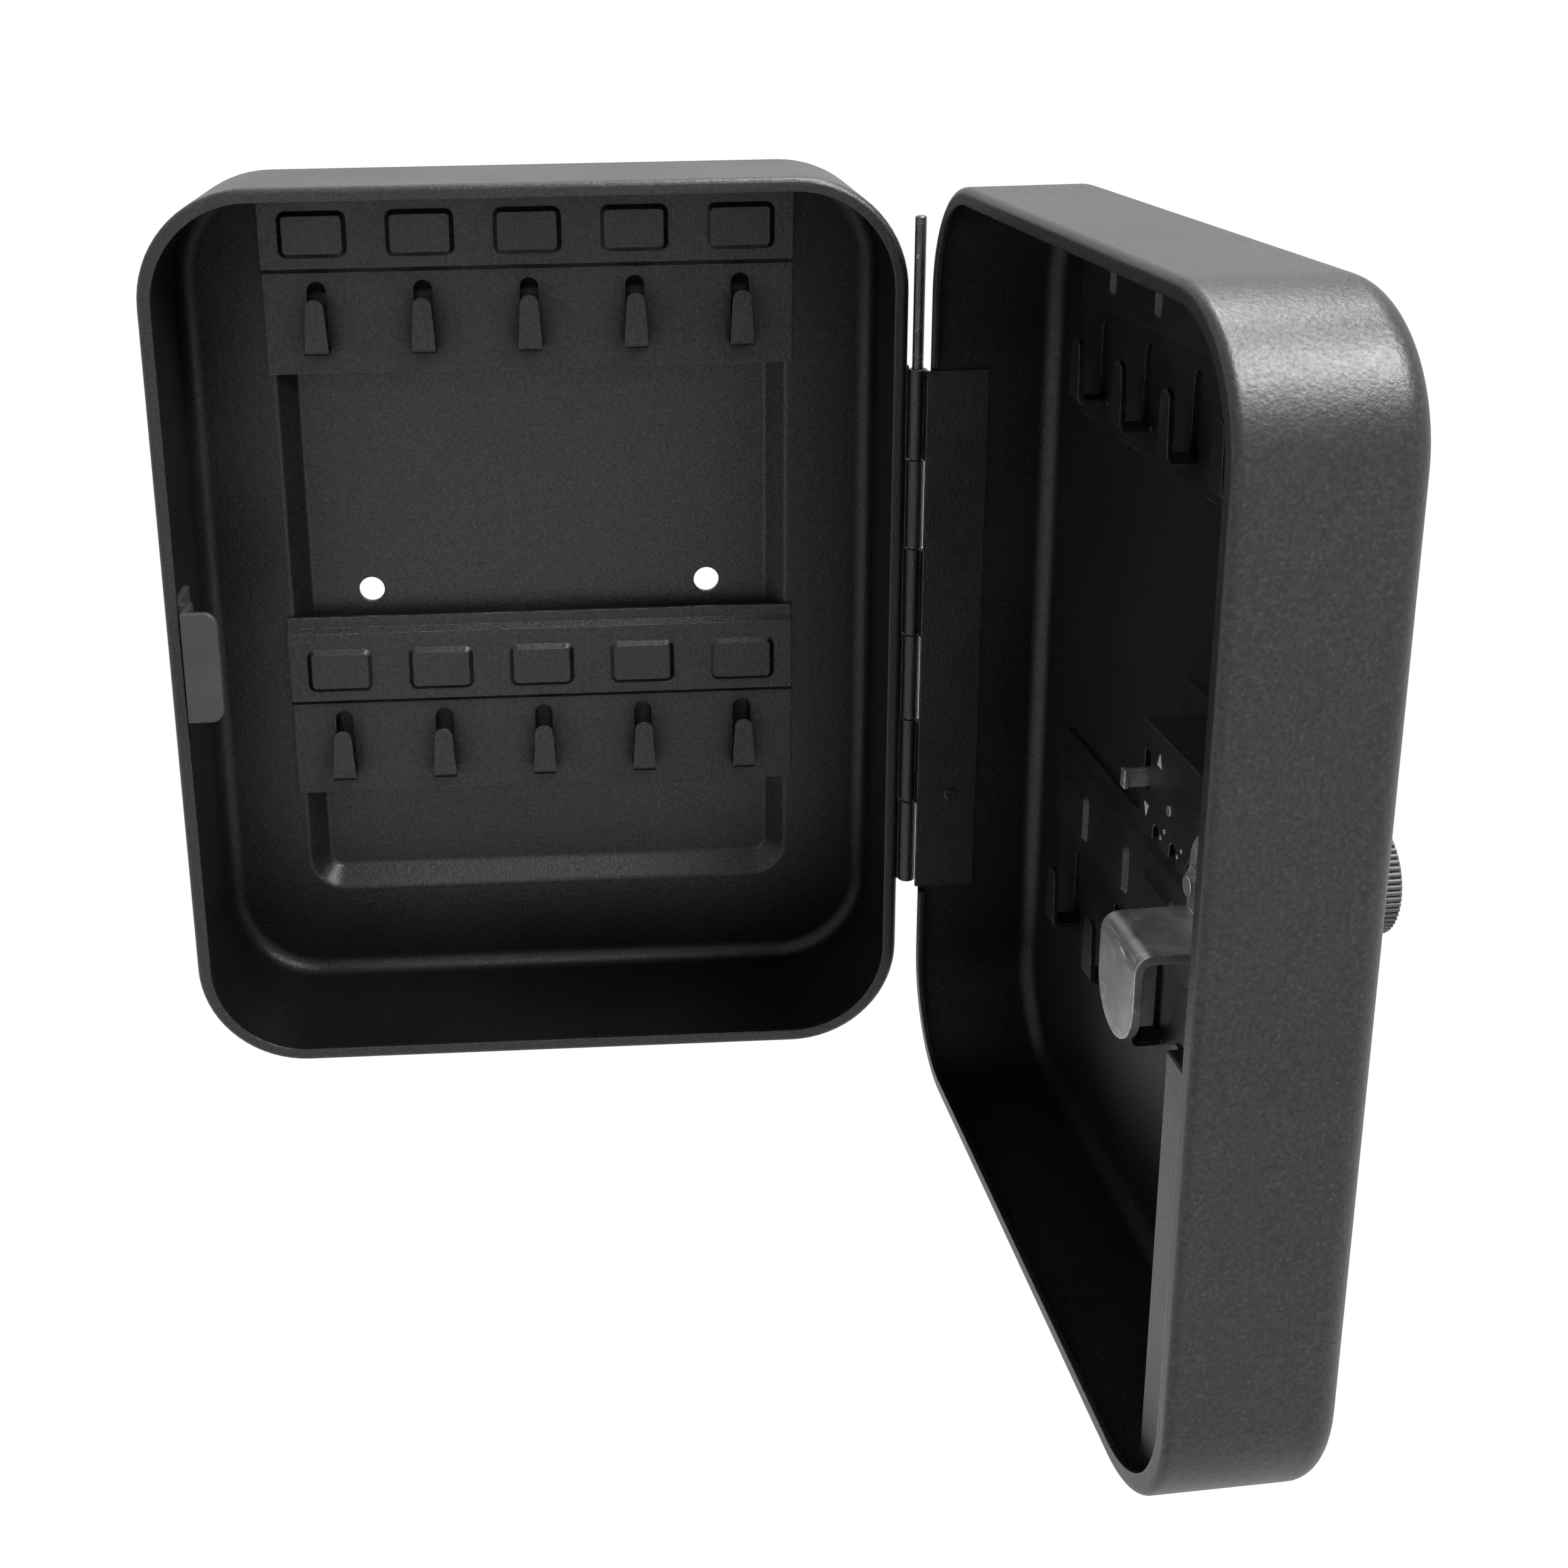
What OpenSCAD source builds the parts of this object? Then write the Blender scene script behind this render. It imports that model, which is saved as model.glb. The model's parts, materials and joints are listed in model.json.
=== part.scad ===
// Steel key cabinet for a wall, with a hinged door, hook strips, number dials and a turn knob.
// Millimetres. The wall is the plane Y = 0, the front faces -Y, +Z is up, and the origin is
// midway between the two wall screws.

/* [Cabinet] */
// Outer width of the body and of the door
box_w = 160; // [140:1:220]
// Outer height of the body and of the door
box_h = 200; // [180:1:260]
// Depth of the body from the wall to the closing plane
body_depth = 46; // [40:1:80]
// Depth of the door from the closing plane to its front
door_depth = 30; // [29:1:40]
// Radius of the four corners seen from the front
corner_r = 24; // [16:1:30]
// Radius of the bend between a wall and the back or the front
bend_r = 5; // [3:0.5:8]
// Thickness of the sheet steel
sheet_t = 1.2; // [0.8:0.1:2]
// Width of the lip turned in around the body's mouth
lip_w = 3; // [2:0.5:3]
// Width of the lip turned in around the door's mouth
door_lip_w = 3.4; // [2:0.2:3.6]
// Radius of the bend between a wall and its lip
lip_bend_r = 1.4; // [0.8:0.1:2]

/* [Back panel] */
// Depth of the panel pressed back to the wall
recess_d = 4; // [2:0.5:6]
// Width of the pressed panel at its upper edge
recess_w = 117; // [100:1:118]
// Height of the pressed panel at its upper edge
recess_h = 152; // [120:1:158]
// Corner radius of the pressed panel at its upper edge
recess_r = 8; // [6:0.5:15]
// How far the panel's sides lean inwards
recess_run = 4.5; // [2:0.5:5]
// Distance between the two wall screws
screw_pitch = 80; // [60:1:90]
// Diameter of the wall screw holes
screw_hole_d = 6; // [4:0.5:8]

/* [Hook strips] */
// Distance from the outer side to the end of a strip
strip_margin = 20; // [20:0.5:22]
// Thickness of the strip's sheet
strip_t = 1; // [0.8:0.1:1.5]
// Height of the lower band that carries the hooks
hook_band_h = 23; // [22:1:30]
// Height of the label band above it
label_band_h = 16.8; // [14:0.2:16.8]
// Height of the hem above the label band
strip_hem_h = 5; // [3:0.5:6]
// How far the label band stands in front of the hook band
joggle = 1.2; // [0.6:0.1:2]
// Distance from one hook to the next
hook_pitch = 24; // [20:1:24]
// Number of hooks on a strip
hook_count = 5; // [3:1:5]
// Width of a hook at its root
hook_w = 5.4; // [4:0.2:7]
// Width of a hook at its tip
hook_tip_w = 4.2; // [3:0.2:5]
// Reach of a hook from the strip's back
hook_reach = 7; // [5:0.5:8]
// Height of a hook
hook_h = 13; // [10:0.5:15]
// Height of a hook's root above the strip's lower edge
hook_root_z = 5; // [4:0.5:7]
// Height of the hook's slot
slot_h = 15; // [12:0.5:17]
// Width of a label field
label_w = 15.4; // [12:0.2:18]
// Height of a label field
label_h = 10.6; // [8:0.2:12]
// Distance from the label band's lower edge to a label field
label_up = 2.3; // [1:0.1:4]
// How far a label field stands in front of its band
label_t = 0.9; // [0.4:0.1:1]
// How far the sides of a label field lean inwards
label_run = 1.1; // [0.6:0.1:1.6]
// Corner radius of a label field
label_r = 2; // [1.8:0.1:3]
// Distance from the box's top down to the lower edge of the upper strips
top_strip_down = 46.5; // [46.5:0.5:56]
// Lower edge of the body's lower strip
cabinet_low_z = -50; // [-60:0.5:-48]
// Lower edge of the door's lower strip
door_low_z = -60; // [-62:0.5:-58]

/* [Hinge] */
// Angle at which the door stands open
door_open = 94; // [0:1:170]
// Diameter of the hinge pin
pin_d = 2.4; // [2:0.1:3]
// Radial clearance between the pin and a knuckle
pin_clear = 0.05; // [0.03:0.01:0.1]
// Outer diameter of a knuckle
knuckle_d = 3.8; // [3.6:0.1:5]
// Length of the row of knuckles
hinge_len = 119; // [100:1:130]
// Number of knuckles
knuckle_count = 6; // [4:2:8]
// Gap between two knuckles
knuckle_gap = 0.4; // [0.3:0.1:0.6]
// Thickness of a leaf
leaf_t = 0.8; // [0.6:0.1:1]
// Width of the leaf inside the door
door_leaf_w = 13.4; // [10:0.2:16]
// Width of the leaf on the body
cabinet_leaf_w = 12; // [8:0.5:16]
// Distance from the body's side wall to a knuckle
knuckle_off = 0.3; // [0.3:0.1:1]
// Distance from the closing plane back to the hinge axis
hinge_back = 1; // [0.5:0.1:1.4]
// Length of the pin that stands above the top knuckle
pin_proud = 32; // [1:1:36]

/* [Strike] */
// Height of the strike tab
strike_h = 25; // [20:0.5:30]
// Height of the tab's middle
strike_z = -1; // [-4:0.5:0]
// Reach of the tab from the body's side wall
strike_reach = 12; // [11.5:0.5:13]
// Thickness of the tab
strike_t = 1.5; // [1:0.1:1.6]

/* [Lock] */
// Distance from the middle of the door to the knob's axis
knob_x = -46; // [-47:0.5:-45.5]
// Height of the knob's axis
knob_z = 0.6; // [0:0.1:1]
// Diameter of the knob
knob_d = 19.4; // [16:0.2:21]
// How far the knob stands in front of the door
knob_h = 14.5; // [10:0.5:18]
// Diameter of the knob's neck
knob_neck_d = 15.6; // [13:0.2:17]
// Length of the knob's neck
knob_neck_h = 3.2; // [3:0.1:5]
// Number of ribs around the knob
knob_ribs = 60; // [24:1:64]
// Diameter of the spindle
spindle_d = 6; // [5:0.5:6]
// Diameter of a number dial
dial_d = 13.6; // [12:0.1:13.8]
// Width of a number dial
dial_w = 5.2; // [4:0.1:5.2]
// Distance from one dial to the next
dial_pitch = 7.8; // [7.6:0.1:7.8]
// Height of the dials' axle
dial_z = 4.3; // [4:0.05:4.6]
// Diameter of the dials' axle
axle_d = 2.4; // [2:0.1:3]
// Radial clearance of a shaft in the lock
shaft_clear = 0.05; // [0.03:0.01:0.1]
// Height of the lock's cover
cover_h = 20; // [19.8:0.1:21]
// How far the cover's middle lies above the dials' axle
cover_up = 0.6; // [0.4:0.1:0.8]
// Thickness of the cover's sheet
cover_t = 0.9; // [0.7:0.1:1]
// Distance from the closing plane to the cover's face
cover_depth = 17.9; // [17.9:0.1:18]
// Distance from the closing plane to the dials' axle
dial_depth = 26; // [26:0.1:26.2]
// Height of the reset lever's middle
lever_z = 4.8; // [4.4:0.1:5.2]
// Height of the reset lever's end
lever_h = 3.3; // [3:0.1:4]
// How far the reset lever stands in front of the cover
lever_reach = 4.4; // [3:0.1:6]
// Distance that the reset lever slides
reset_travel = 3; // [2:0.1:3.2]

/* [Latch] */
// Width of the latch
latch_w = 16; // [12:0.5:16]
// Thickness of the latch
latch_t = 1.5; // [1:0.1:1.6]
// Drop from the knob's axis to the top of the latch's arm
latch_drop = 7.7; // [7.4:0.1:9]
// Length of the latch from the knob's axis to its tip
latch_len = 25.4; // [24:0.2:26]
// Distance from the closing plane to the latch's tongue
latch_depth = 1.6; // [1.5:0.1:2]
// Outer radius of the bend between the latch's arm and its tongue
latch_bend = 3; // [2:0.5:4]
// Gap between the latch's tongue and the strike tab behind it
latch_gap = 0.3; // [0.2:0.1:0.6]

/* [Edge channel] */
// Width of the channel along the free side
channel_w = 18.4; // [14:0.2:18.6]
// Height of the channel's top edge
channel_top_z = -19.8; // [-40:0.2:-19.6]
// Distance from the closing plane to the channel's face
channel_face_d = 5; // [4:0.1:8]

/* [Hidden] */
$fn = 64;
cut = 0.5;

// The closing plane and the planes of the two trays
rim_y = -body_depth;
ring_y = -recess_d;
door_gap = knuckle_d / 2 - hinge_back;
door_rim_y = rim_y - door_gap;
door_front_y = rim_y - door_depth;
door_floor_y = door_front_y + sheet_t;
wall_x = box_w / 2 - sheet_t;
hinge_x = box_w / 2 + knuckle_off + knuckle_d / 2;
hinge_y = rim_y + hinge_back;
knuckle_pitch = hinge_len / knuckle_count;
strip_w = box_w - 2 * strip_margin;
top_strip_z = box_h / 2 - top_strip_down;
hook_first_x = -hook_pitch * (hook_count - 1) / 2;
label_z = hook_band_h + joggle + label_up + label_h / 2;

// The lock, with the door shut
cover_face_y = rim_y - cover_depth;
cover_low_z = dial_z + cover_up - cover_h / 2;
cover_end_x = -9.5;
cover_free_x = knob_x - 12;
frame_t = 1.2;
frame_face_y = door_floor_y + frame_t;
dial_y = rim_y - dial_depth;
dial_first_x = -18.7;
dial_last_x = dial_first_x - 2 * dial_pitch;
cam_w = 1.8;
cage_clear = 0.3;
cam_d = 2 * (dial_y - door_floor_y - cage_clear);
cage_x = dial_last_x - dial_w / 2 - cam_w - cage_clear;
cage_w = 2 * dial_pitch + dial_w + cam_w + 2 * cage_clear;
cheek_t = 1.5;
cheek_y = cover_face_y - cover_t - 0.5;
window_clear = 0.4;
window_h = 2 * sqrt(pow(dial_d / 2, 2) - pow(dial_y - door_floor_y, 2)) + 2 * window_clear;
rivet_x = -23.7;
rivet_z = 3.3;
rivet_d = 1;
lever_x = -12.3;
lever_t = 1;
stud_d = 2;
stud_y = dial_y + dial_d / 5;
stud_z = lever_z + 1;
bush_d = 8.6;
bush_flange_d = 11.4;
tang_w = 4;
thread_d = 3.4;
washer_d = 8;
washer_t = 0.6;
nut_d = 6.6;
nut_h = 2;
knob_face_t = 4;
latch_back_y = cover_face_y + 0.4;
latch_face_y = rim_y - latch_depth;
knob_gap = 0.4;

module rounded_rect(w, h, r) {
    square([w - 2 * r, h], center = true);
    square([w, h - 2 * r], center = true);
    for (x = [-1, 1], y = [-1, 1])
        translate([x * (w / 2 - r), y * (h / 2 - r)]) circle(r);
}

// The profile of a bent edge, from the corner's centre outwards
module bend_profile(r, bend) {
    square([r - bend, bend]);
    translate([r - bend, 0]) intersection() {
        circle(bend);
        square(bend);
    }
}

// The profile of a leaning side, from the corner's centre outwards
module lean_profile(r, run, depth) {
    polygon([[0, 0], [r, 0], [r - run, depth], [0, depth]]);
}

// A rounded slab whose edge has the profile given as its child
module edge_layer(w, h, r, depth) {
    linear_extrude(depth) square([w - 2 * r, h - 2 * r], center = true);
    for (x = [0, 1])
        mirror([x, 0, 0]) {
            translate([w / 2 - r, h / 2 - r, 0]) rotate([90, 0, 0])
                linear_extrude(h - 2 * r) children();
            for (y = [0, 1])
                mirror([0, y, 0]) translate([w / 2 - r, h / 2 - r, 0])
                    rotate_extrude(angle = 90) children();
        }
    for (y = [0, 1])
        mirror([0, y, 0]) translate([-w / 2 + r, h / 2 - r, 0]) rotate([90, 0, 90])
            linear_extrude(w - 2 * r) children();
}

// A bent edge all round: full size at z = 0 and smaller by the bend at z = bend
module bend_layer(w, h, r, bend) {
    edge_layer(w, h, r, bend) bend_profile(r, bend);
}

// A leaning edge all round: full size at z = 0 and smaller by the run at z = depth
module lean_layer(w, h, r, run, depth) {
    edge_layer(w, h, r, depth) lean_profile(r, run, depth);
}

// A sheet tray with its mouth at z = 0, its floor at z = depth and a lip turned in
module tray(depth, lip) {
    inner_w = box_w - 2 * sheet_t;
    inner_h = box_h - 2 * sheet_t;
    inner_r = corner_r - sheet_t;
    difference() {
        union() {
            translate([0, 0, lip_bend_r]) mirror([0, 0, 1])
                bend_layer(box_w, box_h, corner_r, lip_bend_r);
            translate([0, 0, lip_bend_r]) linear_extrude(depth - bend_r - lip_bend_r)
                rounded_rect(box_w, box_h, corner_r);
            translate([0, 0, depth - bend_r]) bend_layer(box_w, box_h, corner_r, bend_r);
        }
        translate([0, 0, sheet_t]) linear_extrude(depth - bend_r - sheet_t)
            rounded_rect(inner_w, inner_h, inner_r);
        translate([0, 0, depth - bend_r]) bend_layer(inner_w, inner_h, inner_r, bend_r - sheet_t);
        translate([0, 0, -cut]) linear_extrude(sheet_t + 2 * cut)
            rounded_rect(box_w - 2 * lip, box_h - 2 * lip, corner_r - lip);
    }
}

// Turns a shape drawn with +Z up into the cabinet: its +Z becomes +Y, or -Y in the door.
module into_wall() {
    translate([0, rim_y, 0]) rotate([-90, 0, 0]) children();
}

module into_door() {
    translate([0, door_rim_y, 0]) rotate([90, 0, 0]) children();
}

// Swings a shape that is drawn with the door shut
module door_swing() {
    translate([hinge_x, hinge_y, 0]) rotate([0, 0, door_open]) translate([-hinge_x, -hinge_y, 0])
        children();
}

// A cylinder along +Y
module rod_y(d, h) {
    rotate([-90, 0, 0]) cylinder(d = d, h = h);
}

// A cylinder along +X
module rod_x(d, h) {
    rotate([0, 90, 0]) cylinder(d = d, h = h);
}

module cabinet_shell() {
    ring_depth = body_depth - recess_d;
    slope = recess_run / recess_d;
    side_t = sheet_t * sqrt(1 + slope * slope);
    color("dimgray") into_wall() difference() {
        union() {
            tray(ring_depth, lip_w);
            translate([0, 0, ring_depth - sheet_t])
                lean_layer(recess_w + 2 * side_t, recess_h + 2 * side_t, recess_r + side_t,
                    slope * (recess_d + sheet_t), recess_d + sheet_t);
        }
        translate([0, 0, ring_depth - sheet_t])
            lean_layer(recess_w, recess_h, recess_r, recess_run, recess_d);
        for (x = [-1, 1])
            translate([x * screw_pitch / 2, 0, body_depth - sheet_t - cut])
                cylinder(d = screw_hole_d, h = sheet_t + 2 * cut);
    }
}

// A strip's sheet: its back is at y = 0, its lower edge at z = 0, and its hooks face -Y.
module strip_sheet(hem) {
    top = hook_band_h + joggle + label_band_h;
    back = concat(
        [[0, 0], [0, hook_band_h], [-joggle, hook_band_h + joggle], [-joggle, top]],
        hem ? [[0, top + joggle], [0, top + strip_hem_h - joggle]] : []);
    front = concat(
        hem ? [[-strip_t, top + strip_hem_h - joggle], [-strip_t, top + joggle]] : [],
        [[-strip_t - joggle, top], [-strip_t - joggle, hook_band_h + joggle],
        [-strip_t, hook_band_h], [-strip_t, 0]]);
    translate([-strip_w / 2, 0, 0]) rotate([90, 0, 90])
        linear_extrude(strip_w) polygon(concat(back, front));
}

// The slot that a hook leaves in its strip, with a round top
module hook_slot() {
    translate([0, cut, 0]) rotate([90, 0, 0]) linear_extrude(strip_t + 2 * cut) {
        translate([-hook_tip_w / 2, 0]) square([hook_tip_w, slot_h - hook_tip_w / 2]);
        translate([0, slot_h - hook_tip_w / 2]) circle(d = hook_tip_w);
    }
}

// A hook bent forward at its root and then up
module hook() {
    inner = 0.6;
    outer = inner + strip_t;
    translate([-hook_w / 2, 0, 0]) {
        translate([0, -hook_reach + outer, 0]) cube([hook_w, hook_reach - outer, strip_t]);
        translate([0, -hook_reach + outer, outer]) rotate([90, 0, 90]) difference() {
            intersection() {
                cylinder(r = outer, h = hook_w);
                translate([-outer, -outer, 0]) cube([outer, outer, hook_w]);
            }
            translate([0, 0, -cut]) cylinder(r = inner, h = hook_w + 2 * cut);
        }
    }
    translate([0, -hook_reach + strip_t, 0]) rotate([90, 0, 0]) linear_extrude(strip_t) {
        polygon([[-hook_w / 2, outer], [hook_w / 2, outer],
            [hook_tip_w / 2, hook_h - hook_tip_w / 2], [-hook_tip_w / 2, hook_h - hook_tip_w / 2]]);
        translate([0, hook_h - hook_tip_w / 2]) circle(d = hook_tip_w);
    }
}

module hook_strip(hem) {
    difference() {
        strip_sheet(hem);
        for (i = [0 : hook_count - 1])
            translate([hook_first_x + i * hook_pitch, 0, hook_root_z + strip_t]) hook_slot();
    }
    for (i = [0 : hook_count - 1])
        translate([hook_first_x + i * hook_pitch, 0, 0]) {
            translate([0, 0, hook_root_z]) hook();
            translate([0, -strip_t - joggle, label_z]) rotate([90, 0, 0])
                lean_layer(label_w, label_h, label_r, label_run, label_t);
        }
}

module cabinet_strip_top() {
    color("dimgray") translate([0, ring_y - sheet_t, top_strip_z]) hook_strip(false);
}

module cabinet_strip_bottom() {
    color("dimgray") translate([0, ring_y - sheet_t, cabinet_low_z]) hook_strip(true);
}

module door_strip_top() {
    color("dimgray") door_swing() translate([0, door_floor_y, top_strip_z]) mirror([0, 1, 0])
        hook_strip(false);
}

module door_strip_bottom() {
    color("dimgray") door_swing() translate([0, door_floor_y, door_low_z]) mirror([0, 1, 0])
        hook_strip(true);
}

// A tab that stands clear of the lip and then steps out to the side wall
module strike_tab() {
    web_x = -wall_x + 2 * strike_t;
    face_y = latch_face_y - latch_t - latch_gap - strike_t;
    lip_clear = 0.8;
    step_y = rim_y + sheet_t + lip_clear;
    foot_l = 14;
    tab_r = 3;
    tab_w = strike_reach - (web_x + box_w / 2);
    color("gray") translate([0, 0, strike_z - strike_h / 2]) {
        translate([web_x, face_y, 0]) cube([strike_t, step_y + strike_t - face_y, strike_h]);
        translate([-wall_x, step_y, 0]) cube([web_x + wall_x, strike_t, strike_h]);
        translate([-wall_x, step_y, 0]) cube([strike_t, foot_l, strike_h]);
        translate([web_x, face_y + strike_t, 0]) rotate([90, 0, 0]) linear_extrude(strike_t) {
            square([tab_w - tab_r, strike_h]);
            translate([0, tab_r]) square([tab_w, strike_h - 2 * tab_r]);
            for (z = [tab_r, strike_h - tab_r])
                translate([tab_w - tab_r, z]) circle(tab_r);
        }
    }
}

// One knuckle, counted from the bottom
module knuckle(i) {
    translate([hinge_x, hinge_y, -hinge_len / 2 + i * knuckle_pitch + knuckle_gap / 2])
        children();
}

module knuckle_row(first, bridge_from, bridge_size) {
    length = knuckle_pitch - knuckle_gap;
    difference() {
        union() for (i = [first : 2 : knuckle_count - 1])
            knuckle(i) {
                cylinder(d = knuckle_d, h = length);
                translate(bridge_from) cube([bridge_size[0], bridge_size[1], length]);
            }
        translate([hinge_x, hinge_y, -hinge_len])
            cylinder(d = pin_d + 2 * pin_clear, h = 2 * hinge_len);
    }
}

module hinge_leaf_cabinet() {
    leaf_y = hinge_y + knuckle_d / 2 + knuckle_gap;
    color("dimgray") {
        knuckle_row(0, [-hinge_x + box_w / 2, 0, 0], [leaf_t, leaf_y - hinge_y + cut]);
        translate([box_w / 2, leaf_y, -hinge_len / 2])
            cube([leaf_t, cabinet_leaf_w, hinge_len]);
    }
}

module hinge_leaf_door() {
    leaf_x = wall_x - leaf_t;
    nub_d = 2.6;
    nub_z = -37.2;
    color("dimgray") door_swing() {
        knuckle_row(1, [leaf_x - hinge_x, -knuckle_d / 2, 0], [hinge_x - leaf_x, leaf_t]);
        translate([leaf_x, door_rim_y + leaf_t - door_leaf_w, -hinge_len / 2])
            cube([leaf_t, door_leaf_w, hinge_len]);
        translate([leaf_x - 0.4, door_rim_y - door_leaf_w / 2, nub_z]) rod_x(nub_d, 0.4 + leaf_t);
    }
}

module hinge_pin() {
    bevel = 0.3;
    color("silver") translate([hinge_x, hinge_y, -hinge_len / 2]) {
        cylinder(d = pin_d, h = hinge_len + pin_proud - bevel);
        translate([0, 0, hinge_len + pin_proud - bevel])
            cylinder(d1 = pin_d, d2 = pin_d - 2 * bevel, h = bevel);
    }
}

module door_shell() {
    depth = door_depth - door_gap;
    notch_h = hinge_len + 2;
    color("dimgray") door_swing() difference() {
        into_door() tray(depth, door_lip_w);
        translate([wall_x - door_lip_w, door_rim_y - sheet_t - cut, -notch_h / 2])
            cube([door_lip_w, sheet_t + 2 * cut, notch_h]);
        for (i = [0 : 2])
            translate([dial_first_x - i * dial_pitch - dial_w / 2 - window_clear,
                door_front_y - cut, dial_z - window_h / 2])
                cube([dial_w + 2 * window_clear, sheet_t + 2 * cut, window_h]);
        translate([knob_x, door_front_y - cut, knob_z])
            rod_y(bush_d + 2 * shaft_clear, sheet_t + 2 * cut);
    }
}

// A folded guard with a face, a web towards the hooks and a closed top
module door_edge_channel() {
    face_y = rim_y - channel_face_d;
    web_x = -wall_x + channel_w;
    side_clear = 0.2;
    side_x = -wall_x + side_clear;
    web_low_z = -box_h / 2 + sheet_t + bend_r;
    t = strip_t;
    inset = 2 * (sheet_t + side_clear);
    color("dimgray") door_swing() {
        translate([web_x - t, door_floor_y, web_low_z])
            cube([t, face_y - door_floor_y, channel_top_z - web_low_z]);
        translate([0, 0, channel_top_z - t]) linear_extrude(t)
            polygon([[side_x, face_y], [side_x, door_floor_y + bend_r],
                [side_x + bend_r, door_floor_y], [web_x, door_floor_y], [web_x, face_y]]);
        intersection() {
            translate([side_x, face_y - t, -box_h / 2])
                cube([web_x - side_x, t, channel_top_z + box_h / 2]);
            translate([0, face_y + cut, 0]) rotate([90, 0, 0]) linear_extrude(t + 2 * cut)
                rounded_rect(box_w - inset, box_h - inset, corner_r - inset / 2);
        }
    }
}

// A base plate with two cheeks for the axle and a shouldered stud for the lever
module lock_frame() {
    ear_x = -1.8;
    ear_h = 4.4;
    ear_r = 2.5;
    top_z = cover_low_z + cover_h + ear_h;
    shoulder_d = 3.4;
    stud_x = cage_x + cage_w + cheek_t;
    lever_gap = 0.1;
    color("silver") door_swing() {
        difference() {
            union() {
                translate([0, frame_face_y, 0]) rotate([90, 0, 0]) linear_extrude(frame_t) {
                    translate([cover_free_x, cover_low_z])
                        square([ear_x - cover_free_x, cover_h + ear_h - ear_r]);
                    translate([cover_free_x, cover_low_z])
                        square([ear_x - cover_free_x - ear_r, cover_h + ear_h]);
                    translate([ear_x - ear_r, top_z - ear_r]) circle(ear_r);
                }
                for (x = [cage_x - cheek_t, cage_x + cage_w])
                    translate([x, frame_face_y, cover_low_z + 2 * cover_t])
                        cube([cheek_t, cheek_y - frame_face_y, cover_h - 4 * cover_t]);
            }
            translate([cage_x, door_floor_y - cut, dial_z - dial_d / 2 - cage_clear])
                cube([cage_w, frame_t + 2 * cut, dial_d + 2 * cage_clear]);
            translate([knob_x, door_floor_y - cut, knob_z])
                rod_y(bush_flange_d + 2 * cage_clear, frame_t + 2 * cut);
            translate([cage_x - 2 * cheek_t, dial_y, dial_z])
                rod_x(axle_d + 2 * shaft_clear, cage_w + 4 * cheek_t);
        }
        translate([stud_x, stud_y, stud_z]) {
            rod_x(shoulder_d, lever_x - lever_t / 2 - lever_gap - stud_x);
            rod_x(stud_d, lever_x + lever_t / 2 + lever_gap - stud_x + cut);
            translate([lever_x + lever_t / 2 + lever_gap - stud_x, 0, 0]) rod_x(shoulder_d, cut);
        }
    }
}

// A folded cover with a slot for the lever, a hole for the spindle and a notch under each dial
module lock_cover() {
    depth = cover_face_y - frame_face_y;
    inner_w = cover_end_x - cover_free_x - 2 * cover_t;
    slot_low_z = lever_z - lever_h / 2 - window_clear;
    slot_w = 2.6;
    notch_w = 3;
    notch_h = 3.2;
    notch_x = dial_first_x + 0.6;
    color("dimgray") door_swing() difference() {
        translate([cover_free_x, frame_face_y, cover_low_z])
            cube([cover_end_x - cover_free_x, depth, cover_h]);
        translate([cover_free_x + cover_t, frame_face_y - cut, cover_low_z + cover_t])
            cube([inner_w, depth - cover_t + cut, cover_h - 2 * cover_t]);
        translate([lever_x - slot_w / 2, cover_face_y - 2 * cover_t, slot_low_z])
            cube([slot_w, 3 * cover_t, lever_h + reset_travel + 2 * window_clear]);
        translate([knob_x, cover_face_y - 2 * cover_t, knob_z]) rod_y(spindle_d + 1, 3 * cover_t);
        translate([rivet_x, cover_face_y - 2 * cover_t, rivet_z])
            rod_y(rivet_d + 2 * shaft_clear, 3 * cover_t);
        for (i = [0 : 2])
            translate([-i * dial_pitch, cover_face_y - 2 * cover_t, 0]) {
                translate([notch_x - notch_w / 2, 0, cover_low_z - cut])
                    cube([notch_w, 3 * cover_t, notch_h - notch_w / 2 + cut]);
                translate([notch_x, 0, cover_low_z + notch_h - notch_w / 2]) rod_y(notch_w, 3 * cover_t);
            }
    }
}

// A small rivet with a flat head
module cover_rivet() {
    head_d = 1.8;
    head_t = 0.3;
    color("silver") door_swing() translate([rivet_x, cover_face_y, rivet_z]) {
        translate([0, -cover_t, 0]) rod_y(rivet_d, cover_t + head_t);
        rod_y(head_d, head_t);
    }
}

module dial_axle() {
    color("silver") door_swing()
        translate([cage_x - cheek_t, dial_y, dial_z]) rod_x(axle_d, cage_w + 2 * cheek_t);
}

// A leaf under the cover's top with a bent finger over each dial
module detent_spring() {
    leaf = 0.4;
    top_z = cover_low_z + cover_h - cover_t;
    finger_w = 3;
    tip_z = dial_z + dial_d / 2 + 0.3;
    color("silver") door_swing() {
        translate([cage_x, dial_y + 1, top_z - leaf])
            cube([cage_w, cheek_y - dial_y - 1, leaf]);
        for (i = [0 : 2])
            translate([dial_first_x - i * dial_pitch - finger_w / 2, 0, 0]) rotate([90, 0, 90])
                linear_extrude(finger_w)
                    polygon([[dial_y + 2, top_z - leaf], [dial_y + 1, top_z - leaf],
                        [dial_y - 0.4, tip_z + leaf / 2], [dial_y, tip_z]]);
    }
}

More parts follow.
